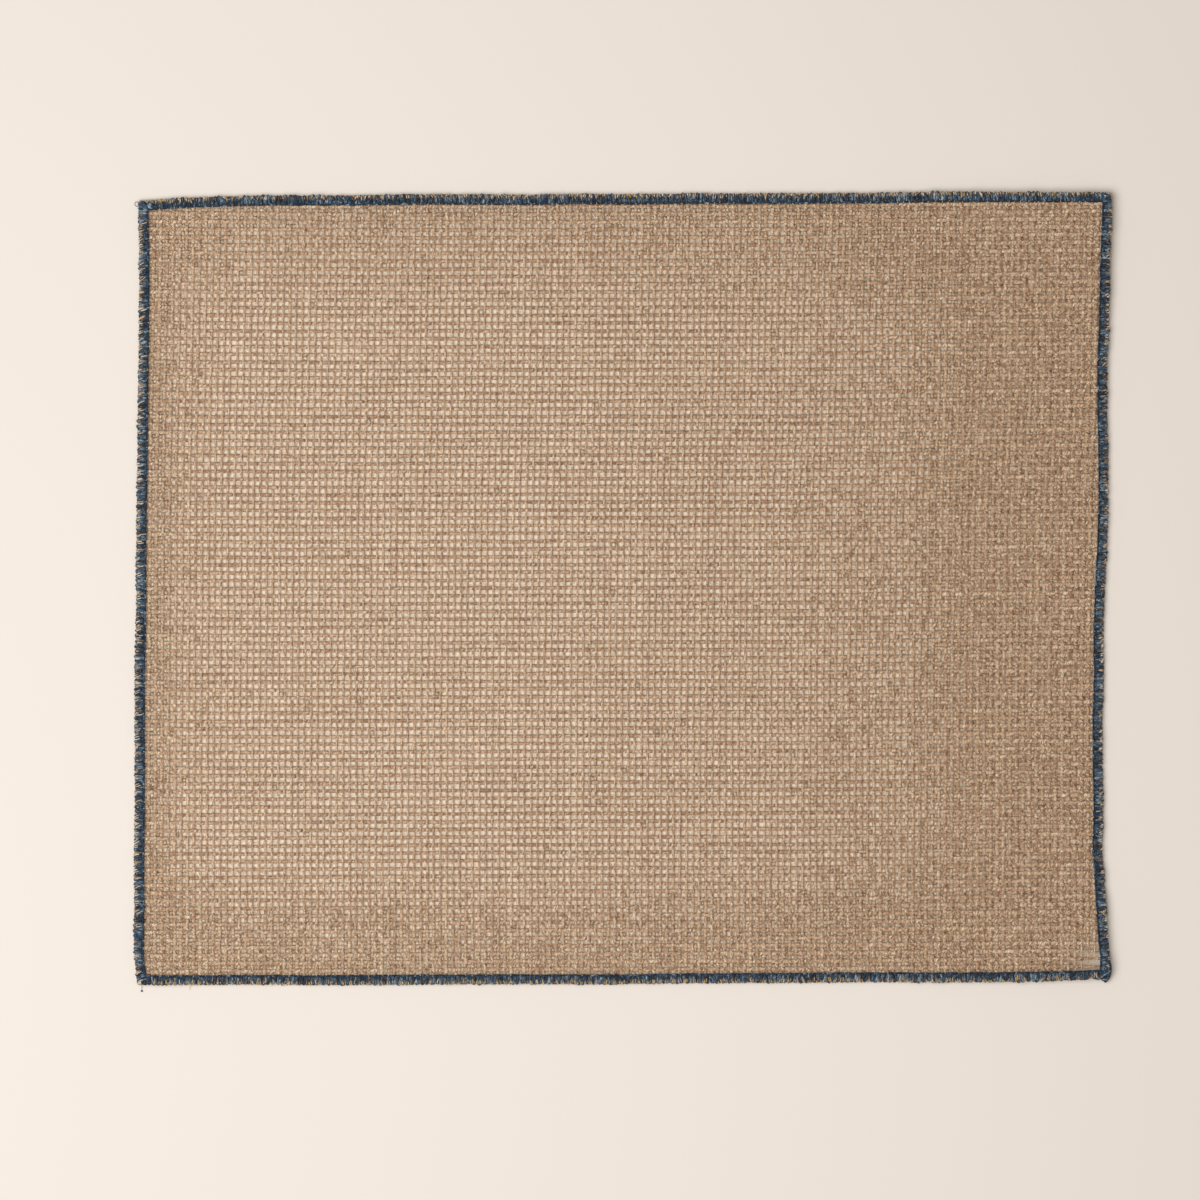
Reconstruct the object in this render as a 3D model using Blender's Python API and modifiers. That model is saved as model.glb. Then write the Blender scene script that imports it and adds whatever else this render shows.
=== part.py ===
"""A flat, open-weave placemat with its four edges overlocked.

The cloth is one panel. Each edge is held by its own run of overlock stitches,
modelled as a thin channel of thread that wraps the cloth's cut edge. The left
and right runs go the full height of the mat, and the top and bottom runs butt
between them. The mat lies flat in the middle, and the corners on its right
stand slightly off the surface.

Axes: X along the width, Y up the mat as seen from above, Z up.
Origin: the middle of the outline, on the surface that the mat lies on.
Sizes are in millimetres, and MM turns them to metres.
"""
from collections import namedtuple
from math import cos, pi, radians, sin

import bmesh
import bpy
from mathutils import Vector

MM = 0.001

# Driving dimensions.
MAT_WIDTH = 454.9
MAT_HEIGHT = 369.1
CLOTH_THICKNESS = 1.8
STITCH_WIDTH = {"left": 4.9, "right": 5.2, "bottom": 5.0, "top": 5.0}
STITCH_HEIGHT = 2.7
THREAD_WALL = 0.45
THREAD_BEND = 0.9  # corner radius of the thread's path round the cut edge
RUN_GAP = 0.4  # from one run of stitches to the next
PANEL_STEP = 21.0  # about how far apart the cloth's rows of points are in the middle

MarginRow = namedtuple("MarginRow", "depth underside thickness")


def margin(stitch_width):
    """The cloth's section by depth in from an edge. The thread grips it thin, 0.3 clear
    of it above and below, and past the stitches it sinks to the surface."""
    return [
        MarginRow(1.0, 0.9, 0.9),
        MarginRow(stitch_width + 0.8, 0.75, 1.2),
        MarginRow(stitch_width + 6.0, 0.4, CLOTH_THICKNESS),
        MarginRow(stitch_width + 14.0, 0.0, CLOTH_THICKNESS),
    ]


MARGINS = {side: margin(width) for side, width in STITCH_WIDTH.items()}

CurveRow = namedtuple("CurveRow", "share mm")


def curve(*rows):
    """A curve along one side, from its left or bottom end to its other end."""
    return [CurveRow(*row) for row in rows]


# How far each edge lies inside the mat's outline box.
EDGE_INSET = {
    "left": curve(
        (0.00, 1.6), (0.016, 0.9), (0.04, 0.0), (0.09, 0.35), (0.15, 0.1),
        (0.25, 0.5), (0.38, 0.45), (0.44, 1.0), (0.57, 1.2), (0.68, 1.7),
        (0.79, 2.2), (0.89, 2.6), (1.00, 2.3),
    ),
    "right": curve(
        (0.00, 2.8), (0.02, 0.6), (0.045, 1.7), (0.10, 2.9), (0.16, 4.3),
        (0.22, 3.8), (0.31, 4.4), (0.39, 3.6), (0.46, 3.8), (0.50, 3.1),
        (0.54, 2.0), (0.65, 1.2), (0.69, 1.9), (0.76, 2.2), (0.84, 1.3),
        (0.91, 1.0), (0.98, 0.0), (1.00, 0.0),
    ),
    "bottom": curve(
        (0.00, 2.6), (0.007, 0.6), (0.014, 0.1), (0.08, 0.1), (0.116, 0.5),
        (0.15, 0.0), (0.33, 0.4), (0.44, 0.5), (0.48, 0.3), (0.55, 0.8),
        (0.65, 1.1), (0.76, 1.4), (0.83, 1.3), (0.90, 1.6), (0.94, 1.95),
        (0.975, 2.5), (0.988, 3.0), (0.993, 1.5), (1.00, 4.2),
    ),
    "top": curve(
        (0.00, 5.6), (0.009, 4.0), (0.02, 3.5), (0.05, 2.7), (0.12, 1.7),
        (0.22, 1.6), (0.30, 1.0), (0.39, 1.4), (0.47, 0.8), (0.51, 1.2),
        (0.57, 0.6), (0.62, 0.8), (0.76, 0.5), (0.83, 0.0), (0.94, 0.3),
        (0.985, 0.3), (1.00, 2.9),
    ),
}

# How far each edge stands off the surface, and how far in the cloth follows it.
EDGE_LIFT = {
    "left": curve((0.00, 0.8), (0.08, 0.1), (0.20, 0.0), (0.85, 0.0), (1.00, 0.6)),
    "right": curve(
        (0.00, 2.6), (0.05, 2.2), (0.17, 0.4), (0.45, 0.2), (0.68, 0.5),
        (0.80, 0.9), (0.93, 2.6), (1.00, 3.2),
    ),
    "bottom": curve((0.00, 0.8), (0.10, 0.3), (0.80, 0.2), (0.90, 0.9), (1.00, 2.6)),
    "top": curve((0.00, 0.6), (0.60, 0.5), (0.75, 0.8), (0.90, 2.5), (1.00, 3.2)),
}
LIFT_REACH = {"left": 20.0, "right": 110.0, "bottom": 45.0, "top": 60.0}

NATURAL_YARN = (0.45, 0.32, 0.22, 1.0)
NAVY_THREAD = (0.017, 0.04, 0.085, 1.0)


def read_curve(rows, share):
    """The curve's value at a share of the side, eased between its rows."""
    for low, high in zip(rows, rows[1:]):
        if share <= high.share:
            part = (share - low.share) / (high.share - low.share)
            return low.mm + (high.mm - low.mm) * (1 - cos(pi * part)) / 2
    return rows[-1].mm


def side_places(across, up):
    """For each side, the depth in from it and the share along it."""
    return {
        "left": (across, up / MAT_HEIGHT),
        "right": (MAT_WIDTH - across, up / MAT_HEIGHT),
        "bottom": (up, across / MAT_WIDTH),
        "top": (MAT_HEIGHT - up, across / MAT_WIDTH),
    }


def lift(across, up):
    """How far the mat's underside stands off the surface."""
    height = 0.0
    hold = 0.0
    for side, (depth, share) in side_places(across, up).items():
        weight = max(0.0, 1 - depth / LIFT_REACH[side]) ** 2
        height += weight * read_curve(EDGE_LIFT[side], share)
        hold += weight
    return height / max(1.0, hold)


def on_mat(across, up, height):
    """A point at distances from the left and bottom edges, and over the underside."""
    share_up = up / MAT_HEIGHT
    share_across = across / MAT_WIDTH
    left = read_curve(EDGE_INSET["left"], share_up)
    right = MAT_WIDTH - read_curve(EDGE_INSET["right"], share_up)
    bottom = read_curve(EDGE_INSET["bottom"], share_across)
    top = MAT_HEIGHT - read_curve(EDGE_INSET["top"], share_across)
    x = left + (right - left) * share_across - MAT_WIDTH / 2
    y = bottom + (top - bottom) * share_up - MAT_HEIGHT / 2
    return Vector((x, y, lift(across, up) + height)) * MM


def stations(length, low_side, high_side):
    """Distances of the cloth's rows of points: close at the edges, even between."""
    low = [row.depth for row in MARGINS[low_side]]
    high = [length - row.depth for row in reversed(MARGINS[high_side])]
    count = round((high[0] - low[-1]) / PANEL_STEP)
    step = (high[0] - low[-1]) / count
    return low + [low[-1] + step * i for i in range(1, count)] + high


ACROSS = stations(MAT_WIDTH, "left", "right")
UP = stations(MAT_HEIGHT, "bottom", "top")


def read_margin(rows, depth):
    """(underside, thickness) at a depth in from one edge, straight between the rows."""
    for outer, inner in zip(rows, rows[1:]):
        if depth <= inner.depth:
            part = (depth - outer.depth) / (inner.depth - outer.depth)
            underside = outer.underside + (inner.underside - outer.underside) * part
            thickness = outer.thickness + (inner.thickness - outer.thickness) * part
            return underside, thickness
    return rows[-1].underside, rows[-1].thickness


def cloth_section(across, up):
    """(underside, thickness) of the cloth, from the edge that lifts and thins it most."""
    sections = [
        read_margin(MARGINS[side], depth)
        for side, (depth, _) in side_places(across, up).items()
    ]
    undersides, thicknesses = zip(*sections)
    return max(undersides), min(thicknesses)


def stitch_section(width):
    """(depth, height) round the outside of a run, from its lower lip to its upper."""
    lower = [(width, 0.0)]
    for angle in (0, 45, 90):
        depth = THREAD_BEND * (1 - sin(radians(angle)))
        height = THREAD_BEND * (1 - cos(radians(angle)))
        lower.append((depth, height))
    upper = [(depth, STITCH_HEIGHT - height) for depth, height in reversed(lower)]
    return lower + upper


def grid_object(name, columns, rows, place, origin, parts, solid=False):
    """An object from a grid, or from one drawn up into a slab if it is solid. Each point
    goes to place(column, row, layer), where layer is 0 for the grid and 1 above it."""
    mesh = bpy.data.meshes.new(name)
    sheet = bmesh.new()
    bmesh.ops.create_grid(sheet, x_segments=columns, y_segments=rows, size=1)
    if solid:
        drawn = bmesh.ops.extrude_face_region(sheet, geom=sheet.faces[:])["geom"]
        upper = [item for item in drawn if isinstance(item, bmesh.types.BMVert)]
        bmesh.ops.translate(sheet, verts=upper, vec=(0, 0, 1))
        bmesh.ops.recalc_face_normals(sheet, faces=sheet.faces[:])
    for vert in sheet.verts:
        column = round((vert.co.x + 1) / 2 * columns)
        row = round((vert.co.y + 1) / 2 * rows)
        vert.co = place(column, row, round(vert.co.z)) - origin
    sheet.to_mesh(mesh)
    sheet.free()
    grid = bpy.data.objects.new(name, mesh)
    grid.location = origin
    parts.objects.link(grid)
    return grid


def finish(part, colour, roughness, group):
    """Shade a part smooth, give it its material and hang it on the mat's empty."""
    material = bpy.data.materials.new(part.name)
    material.use_nodes = True
    shader = material.node_tree.nodes["Principled BSDF"]
    shader.inputs["Base Color"].default_value = colour
    shader.inputs["Roughness"].default_value = roughness
    shader.inputs["Metallic"].default_value = 0.0
    part.data.materials.append(material)
    part.data.shade_smooth()
    part.data.set_sharp_from_angle(angle=radians(40))
    part.parent = group


def make_cloth(parts, group):
    """The woven panel, a slab with its own underside and thickness at each point."""
    def place(column, row, layer):
        across = ACROSS[column]
        up = UP[row]
        underside, thickness = cloth_section(across, up)
        return on_mat(across, up, underside + thickness * layer)

    origin = Vector((0, 0, 0))
    cloth = grid_object(
        "cloth", len(ACROSS) - 1, len(UP) - 1, place, origin, parts, solid=True)
    finish(cloth, NATURAL_YARN, 0.9, group)


def make_run(side, parts, group):
    """One run of overlock stitches, as a channel of thread round the cut edge."""
    section = stitch_section(STITCH_WIDTH[side])
    if side in ("left", "right"):
        along = [0.0] + UP[1:-1] + [MAT_HEIGHT]
    else:
        start = STITCH_WIDTH["left"] + RUN_GAP
        end = MAT_WIDTH - STITCH_WIDTH["right"] - RUN_GAP
        along = [start] + ACROSS[1:-1] + [end]

    def place(column, row, layer):
        depth, height = section[row]
        if side == "left":
            return on_mat(depth, along[column], height)
        if side == "right":
            return on_mat(MAT_WIDTH - depth, along[column], height)
        if side == "bottom":
            return on_mat(along[column], depth, height)
        return on_mat(along[column], MAT_HEIGHT - depth, height)

    out = {"left": (-1, 0), "right": (1, 0), "bottom": (0, -1), "top": (0, 1)}[side]
    origin = Vector((out[0] * MAT_WIDTH, out[1] * MAT_HEIGHT, 0)) * MM / 2
    run = grid_object(
        "edge_stitch_" + side, len(along) - 1, len(section) - 1, place, origin, parts)
    if side in ("left", "top"):
        run.data.flip_normals()  # bent round these two sides, the grid faces inwards
    wall = run.modifiers.new("thread_wall", "SOLIDIFY")
    wall.thickness = THREAD_WALL * MM
    wall.offset = -1
    wall.use_even_offset = True
    finish(run, NAVY_THREAD, 0.7, group)


def main():
    for old in list(bpy.data.objects):
        bpy.data.objects.remove(old, do_unlink=True)
    parts = bpy.data.collections.new("placemat")
    bpy.context.scene.collection.children.link(parts)
    group = bpy.data.objects.new("placemat", None)
    parts.objects.link(group)
    make_cloth(parts, group)
    for side in EDGE_INSET:
        make_run(side, parts, group)


main()
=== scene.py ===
from collections import namedtuple
from math import cos, pi, sin, tau

import bmesh
import bpy
import numpy as np
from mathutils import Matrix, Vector
from mathutils.bvhtree import BVHTree


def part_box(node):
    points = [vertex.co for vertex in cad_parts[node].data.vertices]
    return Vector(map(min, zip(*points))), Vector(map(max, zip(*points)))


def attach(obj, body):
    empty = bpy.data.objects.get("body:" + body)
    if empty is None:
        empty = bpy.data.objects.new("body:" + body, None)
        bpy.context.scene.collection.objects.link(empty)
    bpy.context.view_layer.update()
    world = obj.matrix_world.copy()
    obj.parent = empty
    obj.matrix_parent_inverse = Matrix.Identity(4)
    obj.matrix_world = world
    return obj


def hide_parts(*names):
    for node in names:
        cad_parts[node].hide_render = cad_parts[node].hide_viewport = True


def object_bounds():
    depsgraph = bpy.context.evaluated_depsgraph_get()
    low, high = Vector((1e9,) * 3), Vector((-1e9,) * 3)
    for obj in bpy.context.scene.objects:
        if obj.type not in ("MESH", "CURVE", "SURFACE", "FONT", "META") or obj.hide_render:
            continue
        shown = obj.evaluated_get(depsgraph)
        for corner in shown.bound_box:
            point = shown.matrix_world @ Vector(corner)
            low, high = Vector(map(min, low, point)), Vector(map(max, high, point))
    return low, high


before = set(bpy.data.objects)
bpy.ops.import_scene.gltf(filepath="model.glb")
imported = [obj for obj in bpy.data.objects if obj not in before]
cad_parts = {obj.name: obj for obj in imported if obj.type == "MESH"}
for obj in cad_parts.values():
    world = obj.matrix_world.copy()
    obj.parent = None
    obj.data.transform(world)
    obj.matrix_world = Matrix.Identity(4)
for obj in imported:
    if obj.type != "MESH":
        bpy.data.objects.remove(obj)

MM = 0.001
CAD_LOW, CAD_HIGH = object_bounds()
MAT_WIDTH = (CAD_HIGH.x - CAD_LOW.x) / MM
MAT_HEIGHT = (CAD_HIGH.y - CAD_LOW.y) / MM
SIDES = ("left", "right", "bottom", "top")

# The weave. Warp yarns run up the mat and weft yarns across it. Counts leave out one more
# yarn of each kind beyond either side, which lies wholly under the stitches.
WARP_COUNT = 148
WEFT_COUNT = 101
WARP_PITCH = 3.03
WEFT_PITCH = 3.61
WARP_SIZE = (1.34, 0.75)  # width and thickness of a yarn pressed flat by the weave
WEFT_SIZE = (1.9, 0.8)
CRIMP = 0.19  # how far a yarn swings from the middle, as a share of the cloth's thickness
PRESSED = 1.8  # the cloth's thickness at which the yarns have the sizes above
LEAST_CLOTH = 1.3  # under the stitches the cloth is thinner, but its yarns take this much
PAINTED_LIGHT_LEFT = 0.3  # painted light: how much paler the cloth is painted at its left, where the lamp lights it more, than at its right
STRIP_COUNT = 4  # the woven panel is made in strips, so that no mesh is too heavy

# Each of these holds a value for where the weave is closed, and one for where it is open.
WEFT_PALER = (0.9, -0.9)  # how much paler the weft yarns are than the warp ones
WEFT_RISE = (0.14, -0.06)  # how far above those they lie, as a share of the cloth's thickness

CurveRow = namedtuple("CurveRow", "share value")


def curve(*rows):
    """A curve along one side, from its left or bottom end to its other end."""
    return [CurveRow(*row) for row in rows]


# How far the first and last counted yarns lie inside the outline box.
YARN_INSET = {
    "left": curve((0.0, 4.1), (0.3, 4.2), (0.55, 4.7), (1.0, 6.8)),
    "right": curve((0.0, 8.2), (0.35, 8.0), (0.55, 7.1), (0.8, 4.4), (1.0, 3.3)),
    "bottom": curve((0.0, 2.9), (0.5, 3.9), (0.64, 4.0), (1.0, 5.4)),
    "top": curve((0.0, 3.0), (0.25, 3.5), (0.64, 3.2), (0.8, 2.5), (1.0, 2.0)),
}

# How open the weave is, across and up: its yarns are apart at 1 and nearly touch at 0. Round
# the edges, and over the right-hand sixth of the mat, it is closer.
OPEN_ACROSS = curve((0.0, 0.45), (0.04, 0.85), (0.1, 1.2), (0.4, 1.25), (0.6, 1.05),
                    (0.78, 0.8), (0.9, 0.25), (1.0, 0.15))
OPEN_UP = curve((0.0, 0.4), (0.06, 0.6), (0.16, 1.0), (0.82, 1.0), (0.93, 0.75), (1.0, 0.45))
CLOSED_SPREAD = (0.8, 0.24)  # how much wider warp and weft yarns lie where it is closed
LOOSE_CORNER = (148.0, 0.0)  # the lower right corner, in yarns, where it is pulled open,
LOOSE_OPEN = 2.4  # by this much
LOOSE_REACH = 4.5  # and over about so many yarns

# Unevenness, as rows of (how much, over how many places). Yarns sway to the side, swell by
# a share of their size and change their tone.
EACH, WHOLE = "each", "whole"  # every place on its own, and all of a yarn or stitch alike
YARN_SWAY = [(0.08, 14), (0.04, 3)]
YARN_SWELL = [(0.05, 5), (0.04, 28), (0.05, EACH)]
YARN_TONE = [(0.26, EACH), (0.22, 22), (0.16, WHOLE)]

# The overlock stitches.
STITCH_PITCH = 2.2
LOOPER_SIZE = (0.82, 0.5)  # width and thickness of the soft thread, laid flat
NEEDLE_SIZE = (0.75, 0.5)

# How unevenly stitches are drawn. The outer ends of neighbours lean along the run and reach
# out alike, and each point of a thread is off by a little more along, inward and up.
STITCH_LEAN = [(0.25, 7), (0.32, EACH)]
STITCH_REACH = [(0.9, 1.9), (0.35, EACH)]
STITCH_SHIFT = 0.25
STITCH_SWELL = [(0.13, WHOLE), (0.10, EACH)]
# Each stitch and each point of its thread has a tone of its own; the tone of each point also paints the
# small shades among the thread's filaments.
STITCH_TONE_AND_SHADE = [(0.8, WHOLE), (1.6, EACH)]
POINT_OFF = (0.14, 0.01, 0.10)

LegRow = namedtuple("LegRow", "along inward height tilt wide")

# One loop of the upper thread: out over the cloth to the edge, and back. along is a share
# of the pitch, inward a share of the run's width, height is over the run's underside, tilt
# is the way its flat side faces, in degrees above level, and wide how far the thread spreads.
UPPER_LOOP = [
    LegRow(0.10, 1.00, 1.60, 90, 0.9),
    LegRow(0.17, 0.91, 2.25, 90, 1.15),
    LegRow(0.23, 0.66, 2.45, 90, 1.2),
    LegRow(0.25, 0.36, 2.45, 85, 1.0),
    LegRow(0.27, 0.15, 2.20, 55, 0.9),
    LegRow(0.50, 0.06, 1.55, 10, 1.1),
    LegRow(0.73, 0.15, 2.15, 55, 0.9),
    LegRow(0.75, 0.36, 2.45, 85, 1.0),
    LegRow(0.77, 0.66, 2.45, 90, 1.2),
    LegRow(0.83, 0.91, 2.25, 90, 1.15),
    LegRow(0.90, 1.00, 1.60, 90, 0.9),
]
UNDER_LEG = [  # the thread that shows between two loops, painted darker as shade
    LegRow(0.50, 1.00, 1.70, 90, 1.6),
    LegRow(0.50, 0.85, 2.05, 90, 1.7),
    LegRow(0.48, 0.60, 2.10, 90, 1.7),
    LegRow(0.46, 0.36, 1.90, 90, 1.3),
]
LOWER_LOOP = [  # the lower thread, round the edge and under the cloth
    LegRow(0.55, 1.00, 0.90, -90, 1.0),
    LegRow(0.68, 0.66, 0.28, -90, 1.2),
    LegRow(0.85, 0.16, 0.60, -50, 1.0),
    LegRow(1.00, 0.08, 1.45, 0, 1.0),
    LegRow(1.15, 0.16, 0.60, -50, 1.0),
    LegRow(1.32, 0.66, 0.28, -90, 1.2),
    LegRow(1.45, 1.00, 0.90, -90, 1.0),
]
NEEDLE_STITCH = [  # the needle's thread, which holds the loops, painted darker as shade along the inner line
    LegRow(-0.10, 0.98, 1.50, 90, 1.0),
    LegRow(0.08, 0.98, 2.45, 90, 1.1),
    LegRow(0.50, 0.97, 2.60, 90, 1.2),
    LegRow(0.92, 0.98, 2.45, 90, 1.1),
    LegRow(1.10, 0.98, 1.50, 90, 1.0),
]

# How far in the needle's line lies, as a share of the run's width.
NEEDLE_AT = {"left": 0.99, "right": 0.9, "bottom": 0.92, "top": 0.97}
END_GAP = 0.1  # stitches keep this clear of a run's ends

# Where a run's last stitches lie at each end, at its outer and at its inner wall, in
# millimetres along it, and how round the corner is. They fan out where these are apart.
RunEnd = namedtuple("RunEnd", "outer inner round")
RUN_ENDS = {
    "left": (RunEnd(-184.1, -184.1, 0.8), RunEnd(180.4, 176.1, 1.5)),
    "right": (RunEnd(-178.2, -177.6, 0.5), RunEnd(183.8, 179.1, 3.0)),
    "bottom": (RunEnd(-221.2, -221.2, 0.3), RunEnd(222.2, 222.2, 0.3)),
    "top": (RunEnd(-225.4, -219.8, 3.5), RunEnd(227.0, 222.3, 4.0)),
}

# The cut ends of the cloth's yarns, which come out between the threads along the edge. show
# is about the share of yarns with ends on top, gold how yellow and tone how pale these are,
# lean how far an end's tip lies along the run from its root, and reach how long it is
# against CUT_END, whose inward is a share of the run's width.
CutEnds = namedtuple("CutEnds", "show gold tone lean reach")
CUT_ENDS = {
    "left": CutEnds(0.95, -0.2, 3.6, -0.9, 1.0),
    "right": CutEnds(0.4, -0.1, 3.0, 0.5, 0.6),
    "bottom": CutEnds(0.75, 0.6, 2.0, 0.1, 0.8),
    "top": CutEnds(0.9, 0.35, 3.6, -0.1, 0.62),
}
EndRow = namedtuple("EndRow", "inward height wide")
CUT_END = [
    EndRow(0.60, 2.35, 0.7),
    EndRow(0.50, 2.78, 1.0),
    EndRow(0.32, 2.88, 1.0),
    EndRow(0.17, 2.60, 1.0),
    EndRow(0.05, 1.90, 0.8),
]
CUT_END_SIZE = (0.43, 0.33)
END_ROOM = 2.0  # how far in from either end of a run's inner wall the cut ends begin

# A tick is a single fibre of the cloth that is caught over the needle's line. Its pale tone is painted
# highlight, where a warp yarn catches the light as it dives under the stitches.
TICK = [EndRow(1.10, 2.1, 0.8), EndRow(0.99, 2.95, 1.0), EndRow(0.88, 2.5, 0.8)]
TICK_SHOW = {"left": 0.35, "right": 0.2, "bottom": 0.25, "top": 0.7}  # the share of yarns
TICK_DRIFT = 0.3
TICK_BEND = 0.25

# Loose fibres. A real one is 0.05 mm thick, too fine to show, so they are drawn coarser.
HOLE_FIBRE_SIZE = 0.38
HOLE_FIBRE_LENGTH = 2.6
YARN_FIBRE_COUNT = 7500
YARN_FIBRE_SIZE = 0.2
YARN_FIBRE_LENGTH = 1.7
MAT_OPENNESS = 0.7  # fibres are matted under the holes where the weave is less open than this,
MAT_RAGGED = 0.12  # give or take this much
MAT_SIZE = (3.5, 2.7, 0.12)  # length, width and thickness of the fibres under one hole
MAT_DEPTH = 0.35

# Single filaments of the soft thread. Their tones paint glints of highlight and dark shade among them.
# How far in and how far across the run they lie are shares of its width. Towards the edge they lie
# lower, as the thread does.
FILAMENTS_PER_MM = 3.0
FILAMENT_INWARD = (0.05, 0.92)
FILAMENT_REACH = (0.08, 0.26)
FILAMENT_SIZE = (0.13, 0.26)
FILAMENT_HEIGHT = 2.78
EDGE_SHARE = 0.22
EDGE_FALL = 1.2

RANDOM = np.random.default_rng(7)


# ---------------------------------------------------------------- loose threads

def arc(x, y, radius, height, start, turn):
    """Points on a level arc, from a start angle through a turn, in degrees."""
    angles = np.radians(np.linspace(start, start + turn, 13))
    return [(x + radius * cos(a), y + radius * sin(a), height) for a in angles]


# Threads that have come loose at the corners, and fibres of the cloth caught in the
# stitches. The points are (x, y, height over the floor). The top run ends in a ring, the
# right-hand one in a loop and, below, in a pointed tail of several threads with three bound
# round them, and the bottom one in a thin tail with a knot.
LooseThread = namedtuple("LooseThread", "size tone gold points")
LOOSE_NAVY = {
    "top": [LooseThread(0.34, 0.5, 0, arc(-225.5, 178.6, 1.05, 2.4, -20, 385))],
    "right": [
        LooseThread(0.4, 6.0, 0, arc(224.45, 183.1, 1.15, 5.4, 5, 170)),
        LooseThread(1.1, -1.5, 0, [
            (225.6, -171.5, 4.6), (226.5, -176.0, 4.5), (226.1, -180.0, 3.4), (224.4, -183.1, 1.9)]),
        LooseThread(1.1, 0.0, 0, [
            (225.6, -174.8, 5.1), (225.6, -178.4, 4.8), (225.1, -181.2, 3.5), (224.2, -183.3, 1.9)]),
        LooseThread(1.1, -1.5, 0, [
            (224.8, -176.0, 5.1), (224.7, -178.6, 4.9), (224.4, -181.2, 3.6), (224.1, -183.2, 2.0)]),
        LooseThread(1.1, -0.5, 0, [
            (223.8, -176.2, 5.1), (223.6, -178.8, 4.7), (223.6, -181.0, 3.5), (223.9, -182.9, 2.1)]),
        LooseThread(1.1, -1.5, 0, [
            (222.8, -176.6, 5.0), (222.6, -179.0, 4.4), (222.8, -181.0, 3.2), (223.5, -182.4, 2.3)]),
        LooseThread(0.9, 0.0, 0, [
            (222.0, -177.2, 4.6), (222.0, -179.4, 3.9), (222.4, -181.2, 3.0), (223.0, -181.9, 2.6)]),
        LooseThread(0.6, 2.5, 0, [
            (227.2, -177.0, 4.5), (225.2, -178.2, 5.4), (223.6, -179.4, 5.1), (222.2, -180.2, 3.9)]),
        LooseThread(0.6, -3.0, 0, [
            (226.6, -179.6, 4.0), (224.9, -180.1, 4.6), (223.4, -180.4, 4.5), (222.3, -180.9, 3.5)]),
        LooseThread(0.5, 3.0, 0, [
            (225.6, -181.6, 3.0), (224.4, -181.6, 3.8), (223.4, -181.5, 3.6), (222.7, -181.8, 2.8)]),
    ],
    "bottom": [
        LooseThread(0.25, 7.0, 0, [
            (-223.5, -183.6, 1.8), (-223.5, -185.2, 0.7), (-223.6, -186.2, 0.3), (-223.5, -187.1, 0.3)]),
        LooseThread(0.8, -2.0, 0, [
            (-224.0, -187.0, 0.4), (-223.5, -187.15, 0.45), (-223.0, -187.0, 0.4)]),
    ],
}
LOOSE_JUTE = [
    LooseThread(0.9, 4.0, 0, [
        (-225.0, -183.2, 3.3), (-224.2, -183.1, 3.6), (-223.4, -183.0, 3.4)]),
    LooseThread(0.2, 2.0, 0.9, [
        (-200.8, -184.2, 1.6), (-201.0, -185.4, 0.8), (-201.3, -186.7, 0.3)]),
    LooseThread(0.5, 5.0, 0, [(223.4, 182.3, 5.7), (223.9, 182.2, 5.9), (224.5, 182.1, 5.8)]),
    LooseThread(0.5, 1.0, 1, [(221.9, -149.8, 4.5), (223.5, -151.2, 4.9), (225.0, -152.4, 4.5)]),
    LooseThread(0.5, 1.0, 1, [(-225.0, 164.4, 3.1), (-223.8, 164.1, 3.5), (-222.6, 164.0, 3.5)]),
    LooseThread(0.5, 1.0, 1, [(-224.9, 138.4, 2.7), (-223.7, 138.0, 3.1), (-222.4, 137.8, 3.1)]),
]


# ---------------------------------------------------------------- curves and noise

def read_curve(rows, share):
    """The curve's values at shares of the side, eased between its rows."""
    knots, values = np.array(rows).T
    place = np.interp(share, knots, np.arange(len(knots)))
    low = np.floor(place).astype(int).clip(0, len(knots) - 2)
    ease = (1 - np.cos(pi * (place - low))) / 2
    return values[low] + (values[low + 1] - values[low]) * ease


def smooth_line(places, values, at):
    """Values at any place on a smooth line through the given ones."""
    slopes = np.gradient(values, places)
    low = (np.searchsorted(places, at) - 1).clip(0, len(places) - 2)
    step = places[low + 1] - places[low]
    part = ((at - places[low]) / step).clip(0, 1)
    start = values[low] * (1 + 2 * part) * (1 - part) ** 2
    end = values[low + 1] * part ** 2 * (3 - 2 * part)
    bend = step * part * (1 - part)
    return start + end + bend * (slopes[low] * (1 - part) - slopes[low + 1] * part)


def wander(count, places, reach):
    """Smooth random values for each of so many yarns, which turn about every reach places."""
    knots = RANDOM.standard_normal((count, int(places / reach) + 3))
    at = RANDOM.random((count, 1)) + np.arange(places) / reach
    low = np.floor(at).astype(int)
    part = at - low
    ease = part * part * (3 - 2 * part)
    row = np.arange(count)[:, None]
    return knots[row, low] * (1 - ease) + knots[row, low + 1] * ease


def uneven(count, places, rows):
    """Random values along each of so many yarns or stitches, added up from rows of
    unevenness."""
    total = 0
    for much, reach in rows:
        if reach == EACH:
            values = RANDOM.standard_normal((count, places))
        elif reach == WHOLE:
            values = RANDOM.standard_normal((count, 1))
        else:
            values = wander(count, places, reach)
        total = total + much * values
    return total


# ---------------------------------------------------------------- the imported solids

def node_tree(name):
    """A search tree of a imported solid's faces."""
    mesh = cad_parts[name].data
    corners = [vert.co for vert in mesh.vertices]
    return BVHTree.FromPolygons(corners, [face.vertices for face in mesh.polygons])


UP = Vector((0, 0, 1))
OUTWARDS = {side: Vector(way) for side, way in {
    "left": (-1, 0, 0), "right": (1, 0, 0), "bottom": (0, -1, 0), "top": (0, 1, 0)}.items()}
FEEL_STEP = 4.0
FEEL_INSET = 4.7  # so far in from the outline box, a ray up meets the run all the way along
WALL_HEIGHT = 1.35  # over a run's underside, this is on its outer wall
LIP_HEIGHT = 2.4  # and this on its inner wall, over the cloth that it holds
NEAR_ENDS = (0.25, 0.9, 1.6, 2.4, 3.4, 4.6, 6.0)  # the closer steps at a run's ends
FAR = 100.0  # well clear of the mat

Run = namedtuple("Run", "along outer inner lift")


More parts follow.
